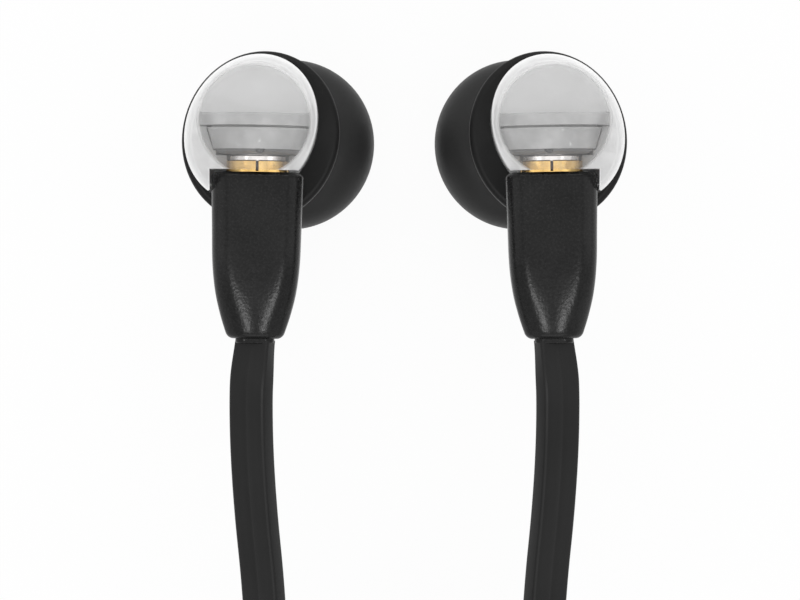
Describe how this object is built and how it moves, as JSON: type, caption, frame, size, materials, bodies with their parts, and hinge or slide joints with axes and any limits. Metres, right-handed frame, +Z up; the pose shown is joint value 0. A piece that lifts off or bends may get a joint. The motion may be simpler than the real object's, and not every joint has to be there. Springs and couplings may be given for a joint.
{
  "type": "wired earphones",
  "caption": "Pair of in-ear wired earphones with clear rear shells, plug-in connectors, flat cable, splitter and 3.5 mm plug",
  "frame": {"origin": "centre of the two earphones' box at the level of the table they lie on, without the cable", "axes": "+X to the picture's right, +Y along the stems away from the cable, +Z up from the table through the clear rear shells"},
  "size_m": [0.0476, 0.131, 0.0229],
  "materials": {
    "clear_shell": "clear polished plastic",
    "pale_plate": "pale grey moulded plastic",
    "housing_black": "fine satin moulded plastic",
    "steel_mesh": "woven steel screen",
    "tip_silicone": "soft satin silicone",
    "socket_grey": "grey moulded plastic",
    "gasket_rubber": "dark soft ring",
    "silver_metal": "bright plated metal",
    "gold_metal": "gold-coloured plating",
    "insulator_white": "white insulator",
    "dark_metal": "dark plated pin",
    "boot_black": "matte, finely pebbled",
    "driver_steel": "stamped steel",
    "magnet_metal": "plated magnet",
    "copper_wire": "enamelled wire",
    "film": "thin film",
    "cable_black": "matte flat cable jacket",
    "splitter_black": "matte moulded block",
    "tie_black": "soft band",
    "relief_black": "soft strain relief",
    "cover_black": "satin moulded cover",
    "ring_black": "plug insulator rings"
  },
  "bodies": {
    "cable": {"leg_left": "cable_black", "leg_right": "cable_black", "leg_coil_left": "cable_black", "leg_coil_right": "cable_black", "leg_tail_left": "cable_black", "leg_tail_right": "cable_black", "main_lead": "cable_black", "main_coil": "cable_black", "main_tail": "cable_black", "splitter": "splitter_black", "tie_legs": "tie_black", "tie_main": "tie_black", "plug_relief": "relief_black", "plug_cover": "cover_black", "plug_sleeve": "gold_metal", "plug_ring": "gold_metal", "plug_tip": "gold_metal", "plug_insulator": "ring_black", "boot_left": "boot_black", "connector_barrel_left": "gold_metal", "connector_sleeve_left": "silver_metal", "connector_insulator_left": "insulator_white", "connector_pin_left": "dark_metal", "boot_right": "boot_black", "connector_barrel_right": "gold_metal", "connector_sleeve_right": "silver_metal", "connector_insulator_right": "insulator_white", "connector_pin_right": "dark_metal"},
    "earpiece_left": {"rear_shell_left": "clear_shell", "back_plate_left": "pale_plate", "front_housing_left": "housing_black", "nozzle_mesh_left": "steel_mesh", "socket_flange_left": "socket_grey", "socket_cup_left": "socket_grey", "socket_gasket_left": "gasket_rubber", "driver_frame_left": "driver_steel", "driver_yoke_left": "driver_steel", "driver_magnet_left": "magnet_metal", "voice_coil_left": "copper_wire", "diaphragm_left": "film"},
    "tip_left": {"ear_tip_left": "tip_silicone"},
    "earpiece_right": {"rear_shell_right": "clear_shell", "back_plate_right": "pale_plate", "front_housing_right": "housing_black", "nozzle_mesh_right": "steel_mesh", "socket_flange_right": "socket_grey", "socket_cup_right": "socket_grey", "socket_gasket_right": "gasket_rubber", "driver_frame_right": "driver_steel", "driver_yoke_right": "driver_steel", "driver_magnet_right": "magnet_metal", "voice_coil_right": "copper_wire", "diaphragm_right": "film"},
    "tip_right": {"ear_tip_right": "tip_silicone"}
  },
  "joints": [
    {"name": "swivel_left", "type": "hinge", "parent": "cable", "child": "earpiece_left", "pos_m": [-0.0109, 0.00517, 0.01807], "axis": [0.0164, 0.9999, 0], "range_deg": [0, 180]},
    {"name": "tip_pull_left", "type": "slide", "parent": "earpiece_left", "child": "tip_left", "axis": [0.2625, -0.0503, -0.9636], "range_m": [0, 0.0054]},
    {"name": "swivel_right", "type": "hinge", "parent": "cable", "child": "earpiece_right", "pos_m": [0.0109, 0.00517, 0.01807], "axis": [0.0164, -0.9999, 0], "range_deg": [0, 180]},
    {"name": "tip_pull_right", "type": "slide", "parent": "earpiece_right", "child": "tip_right", "axis": [-0.2625, -0.0503, -0.9636], "range_m": [0, 0.0054]}
  ]
}
